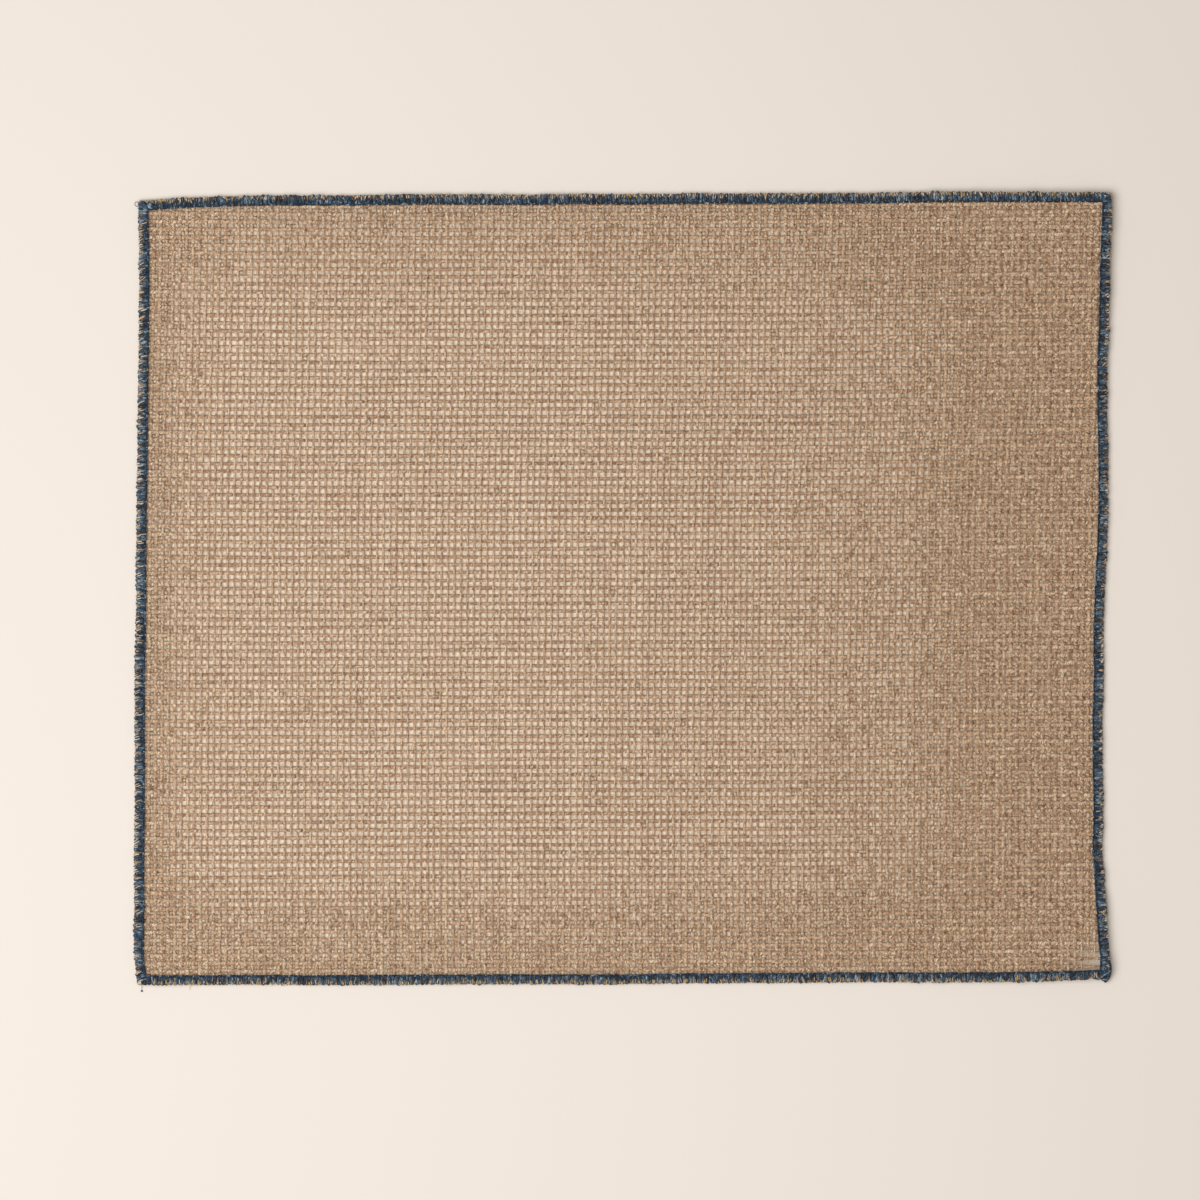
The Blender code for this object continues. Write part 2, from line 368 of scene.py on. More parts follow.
def read_run(side):
    """A run's walls and its lift off the floor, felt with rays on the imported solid."""
    node = "edge_stitch_" + side
    tree = node_tree(node)
    out = OUTWARDS[side]
    along_axis, out_axis = (1, 0) if out.x else (0, 1)
    inset = (MAT_WIDTH, MAT_HEIGHT)[out_axis] / 2 - FEEL_INSET
    start, end = (corner[along_axis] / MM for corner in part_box(node))
    middle = np.arange(start + 2 * FEEL_STEP, end - 2 * FEEL_STEP, FEEL_STEP)
    near = np.array(NEAR_ENDS)
    rows = []
    for along in np.concatenate([start + near, middle, end - near[::-1]]):
        place = Vector(out) * inset
        place[along_axis] = along
        under = tree.ray_cast((place - UP * FAR) * MM, UP)[0]
        if under is None:
            continue
        place.z = under.z / MM + WALL_HEIGHT
        outer = tree.ray_cast((place + out * FAR) * MM, -out)[0]
        place.z = under.z / MM + LIP_HEIGHT
        inner = tree.ray_cast((place - out * FAR) * MM, out)[0]
        if outer is not None and inner is not None:
            rows.append((along, outer[out_axis] / MM, inner[out_axis] / MM, under.z / MM))
    return Run(*np.array(rows).T)


RUNS = {side: read_run(side) for side in SIDES}


def outer_line(side, along):
    """Where a run's outer wall lies, before its corners are rounded."""
    run = RUNS[side]
    return smooth_line(run.along, run.outer, along)


def round_off(side, along):
    """How far the outer wall lies in from its straight line, round the corners."""
    inset = 0
    for end, way in zip(RUN_ENDS[side], (1, -1)):
        from_end = ((along - end.outer) * way).clip(0, end.round)
        inset = inset + end.round - np.sqrt(end.round ** 2 - (end.round - from_end) ** 2)
    return inset


def cloth_heights(x, y):
    """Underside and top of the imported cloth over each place. Past its cut edge they are
    those of its nearest point."""
    tree = node_tree("cloth")
    low = np.empty(x.shape)
    high = np.empty(x.shape)
    for index in np.ndindex(x.shape):
        place = Vector((x[index], y[index], 0)) * MM
        under = tree.ray_cast(place - UP, UP)[0]
        over = tree.ray_cast(place + UP, -UP)[0]
        if under is None or over is None:
            under = tree.find_nearest(place)[0]
            over = tree.find_nearest(place + UP * FAR * MM)[0]
        low[index] = under.z
        high[index] = over.z
    return low / MM, high / MM


# ---------------------------------------------------------------- tubes

Template = namedtuple("Template", "ring side loops starts totals seam first_ring")


def tube_template(rings, sides):
    """A tube round +Z that comes to a point at both ends, as the ring and side of each
    point, and for each face corner its point, its side for the map and its face's ring."""
    tube = bmesh.new()
    bmesh.ops.create_cone(
        tube, cap_ends=True, segments=sides, radius1=1, radius2=1, depth=1)
    if rings > 2:
        upright = [e for e in tube.edges if abs(e.verts[0].co.z - e.verts[1].co.z) > 0.5]
        bmesh.ops.subdivide_edges(tube, edges=upright, cuts=rings - 2)
    for end in (-0.5, 0.5):
        rim = [vert for vert in tube.verts if abs(vert.co.z - end) < 0.01 / rings]
        bmesh.ops.pointmerge(tube, verts=rim, merge_co=(0, 0, end))
    mesh = bpy.data.meshes.new("template")
    tube.to_mesh(mesh)
    tube.free()
    points = np.empty(len(mesh.vertices) * 3, np.float32)
    mesh.vertices.foreach_get("co", points)
    points = points.reshape(-1, 3)
    ring = np.rint((points[:, 2] + 0.5) * (rings - 1)).astype(int)
    side = np.rint(np.arctan2(points[:, 1], points[:, 0]) / tau * sides).astype(int) % sides
    loops = np.empty(len(mesh.loops), np.int32)
    mesh.loops.foreach_get("vertex_index", loops)
    starts = np.empty(len(mesh.polygons), np.int32)
    mesh.polygons.foreach_get("loop_start", starts)
    totals = np.empty(len(mesh.polygons), np.int32)
    mesh.polygons.foreach_get("loop_total", totals)
    bpy.data.meshes.remove(mesh)

    # On the map, a face past the last side ends at a whole turn, and a tip is put midway
    # between its face's sides.
    face = np.repeat(np.arange(len(starts)), totals)
    tip = (ring[loops] == 0) | (ring[loops] == rings - 1)
    corner_side = side[loops].astype(float)
    most = np.maximum.reduceat(np.where(tip, 0, corner_side), starts)[face]
    corner_side[(corner_side == 0) & (most == sides - 1)] = sides
    body_sum = np.add.reduceat(np.where(tip, 0, corner_side), starts)[face]
    body_count = np.add.reduceat((~tip).astype(float), starts)[face]
    corner_side[tip] = (body_sum / np.maximum(body_count, 1))[tip]
    first_ring = np.minimum.reduceat(ring[loops], starts)[face]
    return Template(ring, side, loops, starts, totals, corner_side / sides, first_ring)


def unit(vectors):
    length = np.linalg.norm(vectors, axis=-1, keepdims=True)
    return vectors / np.maximum(length, 1e-9)


Tubes = namedtuple("Tubes", "rings sides points length tone gold")


def make_tubes(lines, widths, thicknesses, facing=(0, 0, 1), sides=5, tone=0, gold=0):
    """Tubes along lines, one line of points each. A tube's flat side faces the given way,
    and its first and last points are its tips."""
    count, rings, _ = lines.shape
    template = tube_template(rings, sides)
    way = unit(np.gradient(lines, axis=1))
    across = unit(np.cross(np.broadcast_to(np.asarray(facing, float), way.shape), way))
    over = np.cross(way, across)
    angle = template.side * tau / sides
    body = (template.ring > 0) & (template.ring < rings - 1)
    wide = np.broadcast_to(widths, (count, rings))[:, template.ring] / 2
    thick = np.broadcast_to(thicknesses, (count, rings))[:, template.ring] / 2
    points = (
        lines[:, template.ring]
        + across[:, template.ring] * (wide * np.cos(angle) * body)[..., None]
        + over[:, template.ring] * (thick * np.sin(angle) * body)[..., None]
    )
    steps = np.linalg.norm(np.diff(lines, axis=1), axis=2)
    length = np.concatenate([np.zeros((count, 1)), np.cumsum(steps, axis=1)], axis=1)
    tone = np.broadcast_to(tone, (count, rings))
    gold = np.broadcast_to(gold, (count, rings))
    return Tubes(rings, sides, points, length, tone, gold)


SEED_STEP = 0.37  # from one tube's start to the next on the pattern's map, in metres
BAKE_STRETCH = 1.6  # a row of the bake's map holds this times the root of all the steps
BAKE_GAP = 0.08  # space left at each side of a row on the bake's map
FLOOR_TOUCH = 0.01  # the lowest that anything lies


def join_tubes(name, groups):
    """One mesh object from groups of tubes. Its map Yarn holds the distance along each
    tube, in metres, and the turn round it, and its map OFBake lays the tubes out in rows."""
    cells = sum(len(g.points) * (g.rings - 1) for g in groups)
    per_row = round(cells ** 0.5 * BAKE_STRETCH)
    row_count = -(-cells // per_row)
    points, loops, starts, totals, yarn_map, bake_map, tones, golds = ([] for _ in range(8))
    point_count = loop_count = cell_count = tube_count = 0
    for group in groups:
        template = tube_template(group.rings, group.sides)
        count = len(group.points)
        tube = np.arange(count)[:, None]
        points.append(group.points.reshape(-1, 3))
        loops.append((template.loops + tube * len(template.ring) + point_count).ravel())
        starts.append((template.starts + tube * len(template.loops) + loop_count).ravel())
        totals.append(np.tile(template.totals, count))
        ring = template.ring[template.loops]
        seed = (tube + tube_count) * SEED_STEP
        along = group.length[:, ring] * MM + seed
        turn = np.broadcast_to(template.seam, along.shape)
        yarn_map.append(np.stack([along, turn], axis=-1).reshape(-1, 2))
        cell = cell_count + tube * (group.rings - 1) + template.first_ring
        column = cell % per_row + (ring - template.first_ring)
        row = cell // per_row + BAKE_GAP + turn * (1 - 2 * BAKE_GAP)
        bake = np.stack([column / per_row, row / row_count], axis=-1)
        bake_map.append(bake.reshape(-1, 2))
        tones.append(group.tone[:, template.ring].ravel())
        golds.append(group.gold[:, template.ring].ravel())
        point_count += count * len(template.ring)
        loop_count += count * len(template.loops)
        cell_count += count * (group.rings - 1)
        tube_count += count
    mesh = bpy.data.meshes.new(name)
    mesh.vertices.add(point_count)
    placed = np.concatenate(points)
    placed[:, 2] = placed[:, 2].clip(FLOOR_TOUCH, None)
    mesh.vertices.foreach_set("co", (placed * MM).astype(np.float32).ravel())
    mesh.loops.add(loop_count)
    mesh.loops.foreach_set("vertex_index", np.concatenate(loops).astype(np.int32))
    mesh.polygons.add(sum(len(part) for part in starts))
    mesh.polygons.foreach_set("loop_start", np.concatenate(starts).astype(np.int32))
    mesh.polygons.foreach_set("loop_total", np.concatenate(totals).astype(np.int32))
    mesh.update(calc_edges=True)
    for map_name, values in (("Yarn", yarn_map), ("OFBake", bake_map)):
        layer = mesh.uv_layers.new(name=map_name)
        layer.uv.foreach_set("vector", np.concatenate(values).astype(np.float32).ravel())
    for value_name, values in (("tone", tones), ("gold", golds)):
        attribute = mesh.attributes.new(value_name, "FLOAT", "POINT")
        attribute.data.foreach_set("value", np.concatenate(values).astype(np.float32))
    mesh.shade_smooth()
    mesh.validate()
    made = bpy.data.objects.new(name, mesh)
    bpy.context.scene.collection.objects.link(made)
    return made


# ---------------------------------------------------------------- the woven panel

EDGE_ROOM = 0.9  # from the cut edge to a yarn's end
YARN_ROOM = 1.1  # the least from one yarn to the next where the edge crowds them


def on_weave(column, row):
    """Places in millimetres of places counted in yarns from the first of each kind. The
    weave leans and bows with the edges, and its outer yarns stay inside them."""
    share_up = ((row + 1) * WEFT_PITCH / MAT_HEIGHT).clip(0, 1)
    share_across = ((column + 1.5) * WARP_PITCH / MAT_WIDTH).clip(0, 1)
    left = read_curve(YARN_INSET["left"], share_up) - MAT_WIDTH / 2
    right = MAT_WIDTH / 2 - read_curve(YARN_INSET["right"], share_up)
    bottom = read_curve(YARN_INSET["bottom"], share_across) - MAT_HEIGHT / 2
    top = MAT_HEIGHT / 2 - read_curve(YARN_INSET["top"], share_across)
    x = left + (right - left) * column / (WARP_COUNT - 1)
    y = bottom + (top - bottom) * row / (WEFT_COUNT - 1)
    from_left = EDGE_ROOM + YARN_ROOM * (column + 1.5)
    from_right = EDGE_ROOM + YARN_ROOM * (WARP_COUNT + 0.5 - column)
    from_bottom = EDGE_ROOM + YARN_ROOM * (row + 1.5)
    from_top = EDGE_ROOM + YARN_ROOM * (WEFT_COUNT + 0.5 - row)
    x = np.clip(x, outer_line("left", y) + from_left, outer_line("right", y) - from_right)
    y = np.clip(y, outer_line("bottom", x) + from_bottom, outer_line("top", x) - from_top)
    return x, y


def yarn_lines(column, row, over, size, rise):
    """(points, widths, thicknesses) of yarns through the weave. over is 1 where a yarn
    passes over the other kind, -1 under and 0 between, and rise is how far the yarn lies
    above the cloth's middle, as a share of its thickness."""
    x, y = on_weave(column, row)
    low, high = cloth_heights(x, y)
    thickness = np.maximum(high - low, LEAST_CLOTH)
    z = (low + high) / 2 + (over * CRIMP + rise) * thickness
    pressed = thickness / PRESSED
    return np.stack([x, y, z], axis=-1), size[0] + 0 * pressed, size[1] * pressed


def add_tips(lines, reach):
    """The lines with a point more at each end, in line with the last two."""
    first = lines[:, :1] + unit(lines[:, :1] - lines[:, 1:2]) * reach
    last = lines[:, -1:] + unit(lines[:, -1:] - lines[:, -2:-1]) * reach
    return np.concatenate([first, lines, last], axis=1)


def with_ends(values):
    """The values with the first and the last once more, for the added tips."""
    return np.concatenate([values[:, :1], values, values[:, -1:]], axis=1)


def openness(column, row):
    """How open the weave is at places counted in yarns."""
    across = read_curve(OPEN_ACROSS, (column / WARP_COUNT).clip(0, 1))
    up = read_curve(OPEN_UP, (row / WEFT_COUNT).clip(0, 1))
    away = np.hypot(column - LOOSE_CORNER[0], row - LOOSE_CORNER[1])
    return across * up + LOOSE_OPEN * np.exp(-(away / LOOSE_REACH) ** 2)


TIP_REACH = 1.0  # from a yarn's last place to its pointed tip
Yarns = namedtuple("Yarns", "lines widths thicknesses tone")


def spin_yarns(column, row, over, size, sideways):
    """Yarns with the unevenness of spun jute. sideways is the axis along which they sway,
    0 for warp yarns and 1 for weft ones."""
    wide = openness(column, row)
    rise = np.interp(wide, (0, 1), WEFT_RISE) * (-0.5, 0.5)[sideways]
    lines, widths, thicknesses = yarn_lines(column, row, over, size, rise)
    count, places = over.shape
    widths = widths * (1 + CLOSED_SPREAD[sideways] * (1 - wide))
    lines[..., sideways] += uneven(count, places, YARN_SWAY)
    swell = uneven(count, places, YARN_SWELL)
    widths = widths * np.exp(swell)
    thicknesses = thicknesses * np.exp(swell / 2)
    # The cloth is painted paler towards its left: painted light from the lamp on that side.
    tone = uneven(count, places, YARN_TONE) + PAINTED_LIGHT_LEFT * (0.5 - column / WARP_COUNT)
    tone = tone + np.interp(wide, (0, 1), WEFT_PALER) * (-0.5, 0.5)[sideways]
    return Yarns(lines, widths, thicknesses, tone)


def part_of(yarns, rows, places):
    """Tubes of some of the yarns, over some of their places."""
    lines = add_tips(yarns.lines[rows, places], TIP_REACH)
    return make_tubes(
        lines, with_ends(yarns.widths[rows, places]),
        with_ends(yarns.thicknesses[rows, places]), tone=with_ends(yarns.tone[rows, places]))


def make_weave(jute):
    """The woven panel, in strips across the mat."""
    warp = np.arange(-1, WARP_COUNT + 1)
    weft = np.arange(-1, WEFT_COUNT + 1)
    # A yarn has a place at each crossing, at each hole, and beyond the outermost crossings.
    up = np.arange(-1.5, WEFT_COUNT + 0.6, 0.5)
    along = np.arange(-1.5, WARP_COUNT + 0.6, 0.5)
    warp_over = np.cos(pi * (warp[:, None] + up))
    weft_over = -np.cos(pi * (weft[:, None] + along))
    warps = spin_yarns(warp[:, None] + 0 * up, up + 0 * warp[:, None], warp_over, WARP_SIZE, 0)
    wefts = spin_yarns(along + 0 * weft[:, None], weft[:, None] + 0 * along, weft_over,
                       WEFT_SIZE, 1)
    cuts = np.linspace(0, len(weft), STRIP_COUNT + 1).round().astype(int)
    strips = []
    for number, (low, high) in enumerate(zip(cuts, cuts[1:]), 1):
        groups = [
            part_of(warps, slice(None), slice(2 * low, 2 * high + 1)),
            part_of(wefts, slice(low, high), slice(None)),
        ]
        strip = join_tubes(f"woven_strip_{number}", groups)
        dress(strip, jute, "natural_yarn", "cloth")
        strips.append((strip, (high - low) / len(weft)))
    return strips, warps, wefts


# ---------------------------------------------------------------- the overlocked edges

def on_run(side, along, inward, height):
    """Places on a run, and the way that its outside faces at a tilt of 0. inward is 0 at
    its outer wall and 1 at its inner one."""
    run = RUNS[side]
    sign = -1.0 if side in ("left", "bottom") else 1.0
    outer = outer_line(side, along)
    inner = outer + (smooth_line(run.along, run.inner, along) - outer) * NEEDLE_AT[side]
    outer = outer - sign * round_off(side, along)
    across = outer + (inner - outer) * inward
    z = np.interp(along, run.along, run.lift) + height
    if side in ("left", "right"):
        return np.stack([across, along, z], axis=-1), np.array([sign, 0.0, 0.0])
    return np.stack([along, across, z], axis=-1), np.array([0.0, sign, 0.0])


def sew(side, starts, rows, size, ragged, sides=5, tone=0.0):
    """One stitch at each start along a run, as tubes that follow a table of rows. ragged is
    how unevenly they are drawn, in shares of the run's width."""
    first, last = RUN_ENDS[side]
    shares, inwards, heights, tilts, wides = np.array(rows).T
    count, rings = len(starts), len(rows)
    outer_part = (1 - inwards).clip(0, 1)
    lean = uneven(1, count, STITCH_LEAN).T
    along = starts[:, None] + shares * STITCH_PITCH + lean * outer_part
    along = along + POINT_OFF[0] * RANDOM.standard_normal((count, rings))
    along = along.clip(first.outer + END_GAP, last.outer - END_GAP)
    straight = along.clip(first.inner, last.inner)
    along = straight + (along - straight) * outer_part
    reach = uneven(1, count, STITCH_REACH).T
    shift = STITCH_SHIFT * RANDOM.standard_normal((count, 1))
    inward = inwards + ragged * (reach * outer_part + shift)
    inward = inward + POINT_OFF[1] * RANDOM.standard_normal((count, rings))
    height = heights + POINT_OFF[2] * RANDOM.standard_normal((count, rings))
    points, outwards = on_run(side, along, inward, height)
    tilt = np.radians(tilts)[:, None]
    facing = np.cos(tilt) * outwards + np.sin(tilt) * np.array([0, 0, 1.0])
    swell = np.exp(uneven(count, rings, STITCH_SWELL))
    # Part of this tone is painted shade among the filaments.
    tone = tone + uneven(count, rings, STITCH_TONE_AND_SHADE)
    return make_tubes(points, size[0] * wides * swell, size[1] * swell,
                      np.broadcast_to(facing, points.shape), sides, tone=tone)


def make_filaments(side):
    """Single filaments that stand off the soft thread, over its legs and down at the edge."""
    first, last = RUN_ENDS[side]
    count = round((last.inner - first.inner) * FILAMENTS_PER_MM)
    along = RANDOM.uniform(first.inner, last.inner, count)
    inward = RANDOM.uniform(*FILAMENT_INWARD, count)
    reach = RANDOM.uniform(*FILAMENT_REACH, count)
    drift = 0.55 * RANDOM.standard_normal(count)
    part = np.array([-0.5, 0.0, 0.5])
    rise = np.array([-0.12, 0.1, -0.12])
    inward = inward[:, None] + reach[:, None] * part
    height = FILAMENT_HEIGHT - EDGE_FALL * (EDGE_SHARE - inward).clip(0, 1) + rise
    height = height + 0.06 * RANDOM.standard_normal((count, 1))
    points, _ = on_run(side, along[:, None] + drift[:, None] * part, inward, height)
    size = RANDOM.uniform(*FILAMENT_SIZE, (count, 1))
    # Painted highlight and shade: pale glints and dark gaps among the filaments.
    tone = 1.5 + 3.0 * RANDOM.standard_normal((count, 1))
    return make_tubes(points, size, size, sides=3, tone=tone)


def loose_tubes(threads):
    """Tubes for a table of loose threads."""
    groups = []
    for thread in threads:
        points = np.array(thread.points)
        place = np.arange(len(points))
        finer = np.linspace(0, len(points) - 1, 2 * len(points) + 3)
        lines = np.stack([smooth_line(place, axis, finer) for axis in points.T], axis=-1)
        tone = thread.tone + 1.2 * RANDOM.standard_normal((1, len(finer)))
        groups.append(make_tubes(lines[None], thread.size, 0.7 * thread.size,
                                 tone=tone, gold=thread.gold))
    return groups


def make_run(side, navy):
    """One run of overlock stitches: two looped threads, the needle's thread, and what has
    come loose from them."""
    first, last = RUN_ENDS[side]
    count = round((last.outer - first.outer) / STITCH_PITCH)
    starts = np.linspace(first.outer, last.outer - STITCH_PITCH, count)
    groups = [
        # The thread between the loops and the needle's thread are painted darker: painted shade, under
        # and beside the loops.
        sew(side, starts, UPPER_LOOP, LOOPER_SIZE, 0.06),
        sew(side, starts, UNDER_LEG, LOOPER_SIZE, 0.05, sides=4, tone=-2.2),
        sew(side, starts, LOWER_LOOP, LOOPER_SIZE, 0.05),
        sew(side, starts, NEEDLE_STITCH, NEEDLE_SIZE, 0.03, tone=-1.6),
        make_filaments(side),
        *loose_tubes(LOOSE_NAVY.get(side, [])),
    ]
    piece = join_tubes("stitches_" + side, groups)
    return dress(piece, navy, "navy_thread", "edge_stitch_" + side)


def off_corners(side, places):
    """The places along a run that are clear of its corners."""
    first, last = RUN_ENDS[side]
    return places[(places > first.inner + END_ROOM) & (places < last.inner - END_ROOM)]


def make_ticks(side, places):
    """Single fibres of the cloth's yarns, caught over the needle's line."""
    inwards, heights, wides = np.array(TICK).T
    here = off_corners(side, places)
    here = here[RANDOM.random(len(here)) < TICK_SHOW[side]][:, None]
    here = here + TICK_DRIFT * RANDOM.standard_normal(here.shape)
    along = here + TICK_BEND * RANDOM.standard_normal((len(here), len(TICK)))
    inward = inwards + 0.03 * RANDOM.standard_normal(here.shape)
    points, _ = on_run(side, along, inward, heights + 0 * here)
    # Painted highlight: the pale tone of ticks stands for warp yarns catching the light as they dive
    # under the stitches.
    tone = 3.5 + RANDOM.standard_normal(here.shape)
    return make_tubes(points, CUT_END_SIZE[0] * wides + 0 * here, CUT_END_SIZE[1],
                      sides=4, tone=tone)


def make_cut_ends(jute, warps, wefts):
    """The yarns' cut ends, which lie over the threads at the edge, and the ticks."""
    places = {"left": wefts.lines[:, 0, 1], "right": wefts.lines[:, -1, 1],
              "bottom": warps.lines[:, 0, 0], "top": warps.lines[:, -1, 0]}
    inwards, heights, wides = np.array(CUT_END).T
    groups = []
    for side in SIDES:
        ends = CUT_ENDS[side]
        here = off_corners(side, places[side])
        # Some stretches of the edge show more ends than others.
        crowd = 0.5 + 0.22 * wander(1, len(here), 6)[0]
        here = here[RANDOM.random(len(here)) * (1 - crowd) < ends.show * 0.5]
        # Each end is a pair of strands, which bend apart and meet again at the tip.
        here = np.repeat(here, 2)
        count = len(here)
        step = np.linspace(0, 1, len(inwards))
        pair = np.tile([-1.0, 1.0], count // 2)[:, None]
        lean = np.repeat(ends.lean + 0.6 * RANDOM.standard_normal((count // 2, 1)), 2, axis=0)
        eye = pair * RANDOM.uniform(0.3, 0.65, (count, 1)) * np.sin(pi * (0.1 + 0.8 * step))
        along = here[:, None] + lean * step + eye + 0.12 * RANDOM.standard_normal((count, 1))
        draw = 0.09 * RANDOM.standard_normal((count, 1))
        inward = inwards * ends.reach * np.exp(2.4 * draw) + 0.3 * draw
        height = heights + 0.12 * RANDOM.standard_normal((count, 1))
        points, _ = on_run(side, along, inward, height)
        size = np.exp(0.2 * RANDOM.standard_normal((count, 1))) * wides
        tone = ends.tone + 1.3 * RANDOM.standard_normal((count, 1))
        gold = (ends.gold + 0.4 * RANDOM.standard_normal((count, 1))).clip(0, 1)
        groups.append(make_tubes(points, CUT_END_SIZE[0] * size, CUT_END_SIZE[1] * size,
                                 sides=4, tone=tone, gold=gold))
        groups.append(make_ticks(side, places[side]))
    groups += loose_tubes(LOOSE_JUTE)
    return dress(join_tubes("cut_yarn_ends", groups), jute, "natural_yarn", "cloth")


# ---------------------------------------------------------------- loose fibres

def scatter_fibres(roots, spread, length, size, tone, gold=0):
    """Short bent fibres, one at each root, lying every way."""
    count = len(roots)
    roots = roots + spread * RANDOM.standard_normal((count, 3))
    heading = RANDOM.random(count) * tau
    reach = length * RANDOM.gamma(6.0, 1 / 6.0, (count, 1))
    way = np.stack([np.cos(heading), np.sin(heading),
                    0.2 * RANDOM.standard_normal(count)], axis=-1) * reach / 2
    bend = 0.13 * RANDOM.standard_normal((count, 3)) * reach
    lines = np.stack([roots - way, roots + bend, roots + way], axis=1)
    sizes = size * RANDOM.uniform(0.7, 1.3, (count, 1))
    tones = tone + 1.1 * RANDOM.standard_normal((count, 1))
    return make_tubes(lines, sizes, sizes, sides=3, tone=tones, gold=gold)


def make_fuzz(jute, warps, wefts):
    """Stray fibres that stand out of the yarns or cross the holes, and matted ones under the holes where
    the weave is closed. Those in open holes are painted paler and more golden, as warm light that comes
    through the jute into the holes; the matted ones are painted darker, as shade."""
    rows, columns = np.indices((WEFT_COUNT + 1, WARP_COUNT + 1)).reshape(2, -1)
    # The weft yarn beside a hole gives the hole's middle across, and the warp yarn up.
    holes = np.stack([
        wefts.lines[rows, 2 * columns + 2, 0],
        warps.lines[columns, 2 * rows + 2, 1],
        (wefts.lines[rows, 2 * columns + 2, 2] + warps.lines[columns, 2 * rows + 2, 2]) / 2,
    ], axis=-1)
    wide = openness(columns - 0.5, rows - 0.5).clip(0, 1)
    matted = wide + MAT_RAGGED * RANDOM.standard_normal(len(holes)) < MAT_OPENNESS
    wide = wide[:, None]
    # Painted light: fibres in the holes turn paler and more golden where the weave is open.
    groups = [scatter_fibres(holes, (0.3, 0.3, 0.2), HOLE_FIBRE_LENGTH, HOLE_FIBRE_SIZE,
                             1 + 5.5 * wide, 0.05 + 0.5 * wide),
              mat_fibres(holes[matted], wide[matted])]
    for yarns, share in ((warps, 0.4), (wefts, 0.6)):
        count = round(YARN_FIBRE_COUNT * share)
        yarn = RANDOM.integers(1, len(yarns.lines) - 1, count)
        place = RANDOM.integers(4, yarns.lines.shape[1] - 4, count)
        roots = yarns.lines[yarn, place] + (0, 0, 0.4)
        groups.append(scatter_fibres(roots, (0.4, 0.4, 0.1), YARN_FIBRE_LENGTH,
                                     YARN_FIBRE_SIZE, 0.3))
    return dress(join_tubes("loose_fibres", groups), jute, "natural_yarn", "cloth")


def mat_fibres(holes, wide):
    """The fibres matted under each hole, painted darkest where the weave is closed, as shade deep in its
    dimples. Single ones are too fine to show here, so those of one hole are drawn as one flat wisp."""
    count = len(holes)
    heading = RANDOM.choice((0, pi / 2), count) + 0.25 * RANDOM.standard_normal(count)
    way = np.stack([np.cos(heading), np.sin(heading), 0 * heading], axis=-1)
    middle = holes + 0.12 * RANDOM.standard_normal((count, 3))
    middle[:, 2] -= MAT_DEPTH
    reach = way * MAT_SIZE[0] / 2
    lines = np.stack([middle - reach, middle, middle + reach], axis=1)
    # Painted shade: the tone falls where the weave is closed and its holes are deep dimples.
    tone = 0.3 + 3.0 * wide + 0.9 * RANDOM.standard_normal((count, 1))
    return make_tubes(lines, MAT_SIZE[1], MAT_SIZE[2], sides=4, tone=tone)


# ---------------------------------------------------------------- materials

def hex_colour(code):
    """A linear colour from an sRGB hex value."""
    channels = [int(code[i:i + 2], 16) / 255 for i in (1, 3, 5)]
    linear = [c / 12.92 if c <= 0.04045 else ((c + 0.055) / 1.055) ** 2.4 for c in channels]
    return (*linear, 1.0)


def set_inputs(tree, node, inputs):
    """Sets a node's inputs, or links them to other nodes' outputs."""
    for name, value in inputs.items():
        if isinstance(value, bpy.types.NodeSocket):
            tree.links.new(value, node.inputs[name])
        else:
            node.inputs[name].default_value = value


def add_node(tree, kind, inputs=None, **settings):
    """A node with its settings and its inputs."""
    made = tree.nodes.new("ShaderNode" + kind)
    for name, value in settings.items():
        setattr(made, name, value)
    set_inputs(tree, made, inputs or {})
    return made


def new_material(name):
    """A material with its node tree and its shader."""
    material = bpy.data.materials.new(name)
    material.use_nodes = True
    return material, material.node_tree, material.node_tree.nodes["Principled BSDF"]


def set_ramp(node, stops):
    """Puts the stops, (place, sRGB hex), on a colour ramp."""
    ramp = node.color_ramp
    while len(ramp.elements) < len(stops):
        ramp.elements.new(0.5)
    for element, (place, code) in zip(ramp.elements, stops):
        element.position = place
        element.color = hex_colour(code)


def twisted_place(tree, twist_mm, along, around):
    """A vector that runs along a yarn and round it with its twist, for a noise to read. It
    goes along by so much to a millimetre, and around is the radius of its turn."""
    yarn = add_node(tree, "UVMap", uv_map="Yarn")
    split = add_node(tree, "SeparateXYZ", {"Vector": yarn.outputs["UV"]})
    turn = add_node(tree, "Math", {0: split.outputs["X"], 1: 1 / (twist_mm * MM),
                                   2: split.outputs["Y"]}, operation="MULTIPLY_ADD")
    angle = add_node(tree, "Math", {0: turn.outputs[0], 1: tau}, operation="MULTIPLY")
    length = add_node(tree, "Math", {0: split.outputs["X"], 1: along / MM},
                      operation="MULTIPLY")
    spoke = add_node(tree, "CombineXYZ", {"X": around, "Z": length.outputs[0]})
    return add_node(tree, "VectorRotate", {"Vector": spoke.outputs[0],
                                           "Angle": angle.outputs[0]},
                    rotation_type="Z_AXIS").outputs[0]


